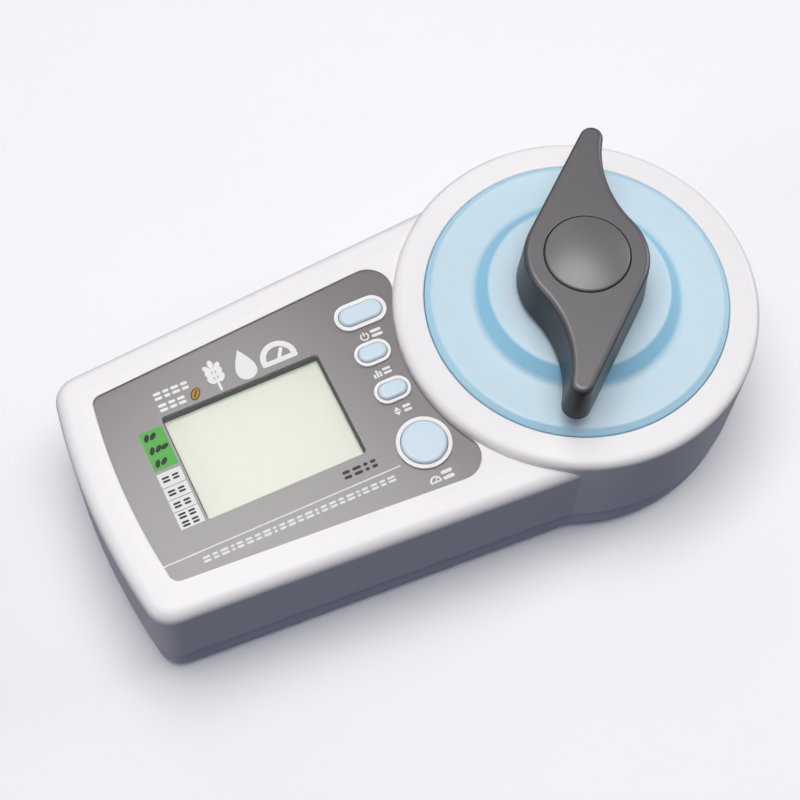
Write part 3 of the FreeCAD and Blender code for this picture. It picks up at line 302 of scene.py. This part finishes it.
def battery_jacket():
    """Foil jacket in two colours, with a thin pale line between them."""
    dark_share, line_width, blur = 0.62, 1.2 * MM, 0.1 * MM
    low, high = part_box("battery")
    material = surface("battery_jacket", linear(60, 64, 74), roughness=0.3, grain=0.5, height=0.004,
                       Metallic=0.6)
    tree = material.node_tree
    along = position(tree, "Object", "X")
    line = low.x + dark_share * (high.x - low.x)
    for start, colour in ((line, linear(214, 212, 205)), (line + line_width, linear(196, 130, 52))):
        overlay(material, spread(tree, along, 0.0, 1.0, start, start + blur), colour)
    return material


def dress_everything():
    dress(case_plastic(), "top_case", "cap_collar")
    dress(lower_case_plastic(), "bottom_case", "battery_door")
    dress(cap_plastic(), "press_cap")
    dress(handle_plastic(), "handle")
    dress(button_plastic(), "pressure_button")
    dress(key_plastic(), "power_key", "average_key", "select_key", "measure_key")
    dress(panel_print(), "panel_overlay")
    dress(clear_window(), "display_window")
    dress(display_glass(), "lcd_glass")
    dress(bezel_plastic(), "display_bezel", "lcd_holder")
    dress(foot_rubber(), "feet")

    dress(steel(), "board_screws", "case_screws", "cell_screws", "door_pin", "temperature_sensor",
          "keeper_ring", "press_screw", "handle_screw", "button_spring")
    dress(brass(), "cap_insert", "electrode_nut")
    dress(electrode_metal(), "outer_electrode", "centre_electrode", "press_plate", "capacitors")
    dress(dark_plastic(), "battery_box", "cell_cup")
    dress(white_plastic(), "lcd_reflector", "cell_insulator", "sensor_connector")
    dress(component_plastic(), "key_switches", "processor", "battery_connector", "power_plunger",
          "average_plunger", "select_plunger", "measure_plunger")
    dress(board_lacquer(), "main_board")
    dress(contact_rubber(), "contact_strips")
    dress(seal_rubber(), "cap_seal", "handle_washer")
    dress(foam(), "battery_pad")
    dress(battery_jacket(), "battery")
    dress(wire_sleeve(), "battery_leads", "electrode_leads")


# ---- flat outlines, in millimetres ---------------------------------------------------------------

def turned(points, x, y, lean):
    """Points turned by an angle in degrees and moved to (x, y)."""
    swing = math.radians(lean)
    cosine, sine = math.cos(swing), math.sin(swing)
    return [(x + px * cosine - py * sine, y + px * sine + py * cosine) for px, py in points]


def arc(x, y, radius, first, last, steps):
    """Points on an arc round (x, y), between two angles in degrees."""
    angles = [math.radians(first + (last - first) * step / steps) for step in range(steps + 1)]
    return [(x + radius * math.cos(angle), y + radius * math.sin(angle)) for angle in angles]


def dash(x, y, length, thick, lean=0.0):
    """A round-ended bar centred on (x, y)."""
    radius = thick / 2
    reach = length / 2 - radius
    ends = arc(reach, 0.0, radius, -90, 90, steps=6) + arc(-reach, 0.0, radius, 90, 270, steps=6)
    return turned(ends, x, y, lean)


def bar(x, y, length, height, corner):
    """A rectangle with small round corners centred on (x, y)."""
    points = []
    for quarter, (right, up) in enumerate(((1, 1), (-1, 1), (-1, -1), (1, -1))):
        points += arc(x + right * (length / 2 - corner), y + up * (height / 2 - corner), corner,
                      90 * quarter, 90 * quarter + 90, steps=3)
    return points


def ellipse(x, y, long_radius, short_radius, lean):
    sides = 28
    angles = [2 * math.pi * side / sides for side in range(sides)]
    points = [(long_radius * math.cos(angle), short_radius * math.sin(angle)) for angle in angles]
    return turned(points, x, y, lean)


def drop(x, y, height):
    """A water drop, point upward."""
    sides, width, point_sharpness = 36, height * 0.42, 1.3
    points = []
    for side in range(sides):
        angle = 2 * math.pi * side / sides
        swell = math.sin(angle) * math.sin(angle / 2) ** point_sharpness
        points.append((x + swell * width, y + math.cos(angle) * height / 2))
    return points


def band(x, y, inner, outer, first, last):
    """Part of a ring between two angles in degrees."""
    steps = 24
    return arc(x, y, outer, first, last, steps) + arc(x, y, inner, last, first, steps)


def arrow(x, y, size, lean):
    """A triangle that points along +X before it is turned."""
    tip, half_width = size / 2, size * 0.8
    return turned([(tip, 0.0), (-tip, half_width), (-tip, -half_width)], x, y, lean)


def stacked_bars(x, y, width, height):
    """Two bars, one over the other, that fill a height between them."""
    thick = height * 0.38
    return [dash(x, y + side * (height - thick) / 2, width, thick) for side in (-1, 1)]


def stroke_row(left, right, y, height, widths, gap):
    """A row of stacked bars, whose widths repeat until the row is full."""
    shapes, x, index = [], left, 0
    while x + widths[index % len(widths)] <= right:
        width = widths[index % len(widths)]
        shapes += stacked_bars(x + width / 2, y, width, height)
        x += width + gap
        index += 1
    return shapes


# ---- signs, each a list of outlines that grow with its size --------------------------------------

def wheat_ear(x, y, height):
    """A stem with grains in pairs and one at the tip."""
    stem_length, stem_thick = height * 0.8, height * 0.075
    lowest_pair, pair_pitch = y - height * 0.1, height * 0.185
    grain_out, grain_lean = height * 0.15, 36.0
    grain_long, grain_short = height * 0.15, height * 0.085
    shapes = [dash(x, y - height * 0.1, stem_length, stem_thick, 90.0)]
    for row in range(3):
        for side in (-1, 1):
            shapes.append(ellipse(x + side * grain_out, lowest_pair + row * pair_pitch, grain_long,
                                  grain_short, 90.0 - side * grain_lean))
    shapes.append(ellipse(x, y + height * 0.4, height * 0.13, height * 0.08, 90.0))
    return shapes


def gauge(x, y, size):
    """A half dial with its foot bar on y, and its hand."""
    middle = y + size * 0.06
    rim = band(x, middle, size * 0.35, size * 0.51, 0, 180)
    foot = dash(x, y, size * 1.02, size * 0.14)
    hand = dash(x + size * 0.08, middle + size * 0.13, size * 0.34, size * 0.1, 58.0)
    return [rim, foot, hand]


def dial(x, y, size):
    """A gauge centred on (x, y)."""
    return gauge(x, y - size * 0.3, size)


def power_sign(x, y, size):
    """A ring open at its top, with a bar in the opening."""
    return [band(x, y, size * 0.32, size * 0.46, 122, 418),
            dash(x, y + size * 0.28, size * 0.5, size * 0.14, 90.0)]


def levels(x, y, size):
    """Three columns of different heights on one line."""
    pitch, width, foot = size * 0.38, size * 0.27, y - size / 2
    return [bar(x + (column - 1) * pitch, foot + size * share / 2, width, size * share, 0.1)
            for column, share in enumerate((0.55, 1.0, 0.75))]


def up_and_down(x, y, size):
    """An arrowhead up over an arrowhead down."""
    return [arrow(x, y + side * size * 0.3, size * 0.5, side * 90.0) for side in (-1, 1)]


# ---- prints on the front panel -------------------------------------------------------------------

PRINT = 0.02  # mm, the thickness of a print
LAYER = 0.002  # mm, how much thicker each outline of a print is than the one before it
LAYERS = 4  # how many such thicknesses there are before they repeat


def in_mm(node):
    low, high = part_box(node)
    return low / MM, high / MM


window_low, window_high = in_mm("display_window")
panel_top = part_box("panel_overlay")[1].z


def add_piece(name, mesh, material):
    mesh.materials.append(material)
    piece = bpy.data.objects.new(name, mesh)
    bpy.context.scene.collection.objects.link(piece)
    return piece


def ink(name, colour, roughness=0.38):
    return surface(name, colour, vary=0.03, roughness=roughness, rough_vary=0.05, grain=0.12,
                   height=0.002, Specular_IOR_Level=0.25)


def printed(name, outlines, material, thick=PRINT, level=panel_top):
    """Ink or film lying on a face: flat outlines given a thickness, in one mesh. Outlines that
    overlap get slightly different thicknesses, so that no two faces coincide."""
    mesh = bpy.data.meshes.new(name)
    shape = bmesh.new()
    for index, outline in enumerate(outlines):
        rise = (thick + LAYER * (index % LAYERS)) * MM
        lower, upper = ([shape.verts.new((x * MM, y * MM, height)) for x, y in outline]
                        for height in (level, level + rise))
        shape.faces.new(lower)
        shape.faces.new(upper)
        for corner in range(len(outline)):
            shape.faces.new((lower[corner - 1], lower[corner], upper[corner], upper[corner - 1]))
    bmesh.ops.recalc_face_normals(shape, faces=shape.faces)
    shape.to_mesh(mesh)
    shape.free()
    piece = add_piece(name, mesh, material)
    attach(piece, "case")


def make_title(white):
    """Three plain signs above the window, with two short rows of small marks before them."""
    size, y = 9.0, window_high.y + 5.2
    ear_x, drop_x, gauge_x = (window_low.x + along for along in (17.2, 25.2, 34.2))
    signs = wheat_ear(ear_x, y, size) + [drop(drop_x, y, size)]
    signs += gauge(gauge_x, y - size * 0.3, size * 1.08)
    printed("title_signs", signs, white)

    left, height, gap = window_low.x + 0.5, 2.2, 0.5
    upper_end, upper_y = left + 11.9, window_high.y + 6.0
    lower_end, lower_y = left + 7.9, window_high.y + 2.5
    marks = stroke_row(left, upper_end, upper_y, height, (2.1, 1.7, 2.2, 1.9), gap)
    marks += stroke_row(left, lower_end, lower_y, height, (2.3, 1.9, 2.1), gap)
    printed("title_small_lines", marks, white)


def make_grain_mark(dark):
    """An amber grain with a dark edge and a crease along it, at the end of the lower row."""
    x, y, lean = window_low.x + 10.6, window_high.y + 2.6, 52.0
    amber = ink("ink_amber", linear(178, 128, 36))
    printed("grain_mark_edge", [ellipse(x, y, 1.85, 1.2, lean)], dark)
    printed("grain_mark", [ellipse(x, y, 1.55, 0.92, lean)], amber, 2 * PRINT)
    printed("grain_mark_crease", [dash(x, y, 2.2, 0.3, lean)], dark, 3 * PRINT)


def make_grain_list(dark):
    """The list of grains down the window's left side: three green tags over four white ones."""
    green = ink("tag_green", linear(82, 173, 70))
    pale = ink("tag_white", linear(222, 221, 218))
    width, corner = 6.4, 0.15
    middle = window_low.x - 0.7 - width / 2
    marks = []

    top, pitch, tag_gap = window_high.y - 1.95, 3.77, 0.12
    grain_x, grain_pitch, grain_long, grain_short = middle - 1.6, 1.7, 1.15, 0.62
    grain_lean, lean_step = 62.0, 20.0
    for row in range(3):
        y = top - pitch * (row + 0.5)
        tag = bar(middle, y, width, pitch - tag_gap, corner)
        printed(f"grain_tag_green_{row + 1}", [tag], green)
        for place in range(2 + row % 2):
            marks.append(ellipse(grain_x + grain_pitch * place, y, grain_long, grain_short,
                                 grain_lean - lean_step * place))

    top, pitches, tag_gap = window_high.y - 14.05, (4.3, 3.6, 3.5, 5.1), 0.22
    half_row, line_height, line_offset, gap = 2.4, 1.5, 1.15, 0.7
    for row, pitch in enumerate(pitches):
        y = top - pitch / 2
        top -= pitch
        tag = bar(middle, y, width, pitch - tag_gap, corner)
        printed(f"grain_tag_white_{row + 1}", [tag], pale)
        two_lines = row == len(pitches) - 1
        for line_y in (y + line_offset, y - line_offset) if two_lines else (y,):
            marks += stroke_row(middle - half_row, middle + half_row, line_y, line_height,
                                (2.0, 1.8), gap)
    printed("grain_tag_marks", marks, dark, 2 * PRINT)


def make_rule_and_small_print(white, dark):
    """A rule from the panel's left edge to the round key, small marks under it, and a short dark
    row under the window's right corner."""
    gap = 0.65
    rule_y, small_y, short_y = window_low.y - 7.0, window_low.y - 9.4, window_low.y - 3.6
    left, right = in_mm("panel_overlay")[0].x + 1.2, in_mm("measure_key")[0].x - 1.3
    rule = bar((left + right) / 2, rule_y, right - left, 0.34, 0.1)
    printed("rule", [rule], white)
    small = stroke_row(window_low.x - 5.2, window_high.x + 3.8, small_y, 1.6,
                       (1.9, 1.5, 2.1, 0.9, 1.7), gap)
    printed("small_print", small, white)
    short = stroke_row(window_high.x - 8.2, window_high.x + 1.5, short_y, 2.3,
                       (2.1, 2.4, 1.2, 1.6), gap)
    printed("model_marks", short, dark)


def make_key_sign(key, sign, white, gap, size, width):
    """A sign under a key, with two plain bars beside it. gap is how far its middle is under the
    key, and width is how wide sign and bars are together."""
    low, high = in_mm(key + "_key")
    left, y = (low.x + high.x - width) / 2, low.y - gap
    bars_gap, bars_height = 0.5, size * 0.85
    bars_width = width - size - bars_gap
    shapes = sign(left + size / 2, y, size)
    shapes += stacked_bars(left + width - bars_width / 2, y, bars_width, bars_height)
    printed(key + "_sign", shapes, white)


def make_prints():
    """Generic marks where the meter carries its title, grain list, key labels and small print."""
    white = ink("ink_white", linear(230, 228, 225))
    dark = ink("ink_dark", linear(44, 42, 42))
    make_title(white)
    make_grain_mark(dark)
    make_grain_list(dark)
    make_rule_and_small_print(white, dark)
    make_key_sign("power", power_sign, white, gap=3.0, size=2.6, width=6.2)
    make_key_sign("average", levels, white, gap=2.7, size=2.2, width=5.0)
    make_key_sign("select", up_and_down, white, gap=2.7, size=2.3, width=5.0)
    make_key_sign("measure", dial, white, gap=3.2, size=3.0, width=6.6)


# ---- screw recesses ------------------------------------------------------------------------------

def middle_of(values):
    return (min(values) + max(values)) / 2


def solid_middles(name):
    """The middles of a node's separate solids, with the node's lowest and highest level."""
    shape = bmesh.new()
    shape.from_mesh(nodes[name].data)
    shape.transform(nodes[name].matrix_world)
    waiting, middles = set(shape.verts), []
    while waiting:
        found = [waiting.pop()]
        for vert in found:
            for edge in vert.link_edges:
                other = edge.other_vert(vert)
                if other in waiting:
                    waiting.remove(other)
                    found.append(other)
        middles.append([middle_of([vert.co[axis] for vert in found]) for axis in range(2)])
    heights = [vert.co.z for vert in shape.verts]
    shape.free()
    return sorted(middles), min(heights), max(heights)


def make_recesses():
    """Dark crosses that stand for the recesses in the heads of the case screws, which face down,
    and of the sample cell's screws, which face up. Each is turned a little from the one before."""
    shadow = ink("recess_shadow", linear(28, 28, 30), 0.7)
    below_head = 0.03 * MM
    for name, reach, width, upward in (("case_screws", 3.4, 0.75, False),
                                       ("cell_screws", 1.9, 0.45, True)):
        middles, low, high = solid_middles(name)
        crosses = [dash(x / MM, y / MM, reach, width, lean + turn)
                   for lean, (x, y) in enumerate(middles) for turn in (20.0, 110.0)]
        level = high if upward else low - below_head
        printed(name + "_recess", crosses, shadow, level=level)


# ---- spring under the button ---------------------------------------------------------------------

def spring_line(low, high, wire):
    """The middle line of a coil spring that fills a box, with its end turns lying flat."""
    turns, steps, flat_turns = 4.5, 40, 0.75
    radius = (high.x - low.x) / 2 - wire
    bottom, top = low.z + wire, high.z - wire
    points = []
    for step in range(int(turns * steps) + 1):
        turn = step / steps
        rise = min(max((turn - flat_turns) / (turns - 2 * flat_turns), 0.0), 1.0)
        angle = 2 * math.pi * turn
        points.append(((low.x + high.x) / 2 + radius * math.cos(angle),
                       (low.y + high.y) / 2 + radius * math.sin(angle),
                       bottom + rise * (top - bottom), 1.0))
    return points


def make_spring():
    """The button's coil spring, which takes the place of the plain spring part."""
    low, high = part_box("button_spring")
    wire = 0.45 * MM
    coil = bpy.data.curves.new("spring_coil", "CURVE")
    coil.dimensions = "3D"
    coil.bevel_depth = wire
    coil.bevel_resolution = 3
    coil.use_fill_caps = True
    line = coil.splines.new("POLY")
    places = spring_line(low, high, wire)
    line.points.add(len(places) - 1)
    for point, place in zip(line.points, places):
        point.co = place
    shape = bpy.data.objects.new("spring_coil", coil)
    mesh = bpy.data.meshes.new_from_object(shape)
    bpy.data.objects.remove(shape)
    mesh.materials.clear()
    mesh.shade_smooth()
    piece = add_piece("spring_coil", mesh, steel("spring_steel"))
    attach(piece, "handle")
    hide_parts("button_spring")
    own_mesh(piece)


# ---- camera, light and floor ---------------------------------------------------------------------

def make_camera():
    """A view from above, in front and a little to the left, with the camera rolled slightly."""
    azimuth, elevation, roll = math.radians(-29.09), math.radians(64.70), math.radians(-3.84)
    distance = 0.4685
    target = Vector((-0.0097, -0.0057, panel_top))
    back = Vector((math.sin(azimuth) * math.cos(elevation),
                   -math.cos(azimuth) * math.cos(elevation), math.sin(elevation)))
    level = Vector((math.cos(azimuth), math.sin(azimuth), 0.0))
    above = back.cross(level)
    right = level * math.cos(roll) - above * math.sin(roll)
    up = back.cross(right)
    camera = bpy.data.objects.new("camera", bpy.data.cameras.new("camera"))
    camera.data.lens = 82.25
    camera.data.sensor_width = 36.0
    camera.data.clip_start = 0.01
    spot = target + back * distance
    camera.matrix_world = Matrix((
        (right.x, up.x, back.x, spot.x), (right.y, up.y, back.y, spot.y),
        (right.z, up.z, back.z, spot.z), (0.0, 0.0, 0.0, 1.0)))
    bpy.context.scene.collection.objects.link(camera)
    bpy.context.scene.camera = camera


def area_light(name, place, size, power, colour):
    """A rectangular lamp that faces the meter."""
    middle = Vector((0.0, 0.0, 0.03))
    light = bpy.data.lights.new(name, "AREA")
    light.shape = "RECTANGLE"
    light.size, light.size_y = size
    light.energy = power
    light.color = colour
    lamp = bpy.data.objects.new(name, light)
    lamp.location = place
    lamp.rotation_mode = "QUATERNION"
    lamp.rotation_quaternion = (middle - Vector(place)).to_track_quat("-Z", "Y")
    bpy.context.scene.collection.objects.link(lamp)


def make_lights():
    area_light("overhead_box", (-0.025, 0.055, 1.1), (0.74, 0.82), 10.4, (1.0, 0.985, 0.97))
    area_light("right_fill", (1.0, 0.0, 0.45), (0.5, 0.5), 3.0, (1.0, 0.985, 0.99))
    area_light("back_fill", (0.1, 1.3, 0.8), (0.8, 0.8), 2.0, (0.95, 0.975, 1.0))
    area_light("left_fill", (-1.3, 0.1, 0.6), (0.6, 0.6), 3.0, (0.99, 0.97, 1.0))
    world = bpy.data.worlds.new("studio")
    world.use_nodes = True
    backdrop = world.node_tree.nodes["Background"]
    backdrop.inputs["Color"].default_value = (0.6, 0.68, 1.0, 1.0)
    backdrop.inputs["Strength"].default_value = 0.14
    bpy.context.scene.world = world


def pale_surface(name, **texture):
    material = surface(name, linear(243, 243, 244), roughness=0.8, **texture)
    shader_of(material).inputs["Emission Color"].default_value = WHITE
    return material


def add_backdrop(name, shape, material):
    """A piece of the set: the camera sees it, and the meter gets no light or reflection from it."""
    mesh = bpy.data.meshes.new(name)
    shape.to_mesh(mesh)
    shape.free()
    piece = add_piece(name, mesh, material)
    piece.visible_diffuse = False
    piece.visible_glossy = False
    return piece


def make_floor():
    """A plain pale floor with a plain pale wall far off, all round it. They throw no light back,
    as on a table whose surroundings are dark, so the meter's sides keep their shade. Away from
    the meter the floor glows a little, so that it stays as pale as the wall."""
    glow, glow_from, glow_full = 0.82, 0.4, 2.4
    floor_reach, wall_radius, wall_height = 6.0, 5.8, 8.0

    floor = pale_surface("floor_pale", grain=2.0, height=0.02, mottle=3.0)
    tree = floor.node_tree
    place = tree.nodes.new("ShaderNodeTexCoord")
    distance = tree.nodes.new("ShaderNodeVectorMath")
    distance.operation = "LENGTH"
    tree.links.new(place.outputs["Object"], distance.inputs[0])
    tree.links.new(spread(tree, distance.outputs["Value"], 0.0, glow, glow_from, glow_full),
                   shader_of(floor).inputs["Emission Strength"])
    ground = bmesh.new()
    bmesh.ops.create_grid(ground, x_segments=1, y_segments=1, size=floor_reach)
    add_backdrop("floor", ground, floor)

    wall = pale_surface("wall_pale")
    shader_of(wall).inputs["Emission Strength"].default_value = glow
    ring = bmesh.new()
    bmesh.ops.create_cone(ring, cap_ends=False, segments=64, radius1=wall_radius,
                          radius2=wall_radius, depth=wall_height)
    add_backdrop("wall", ring, wall).visible_shadow = False


bpy.context.scene.view_settings.view_transform = "Standard"
make_camera()
make_lights()
make_floor()
dress_everything()
make_prints()
make_recesses()
make_spring()
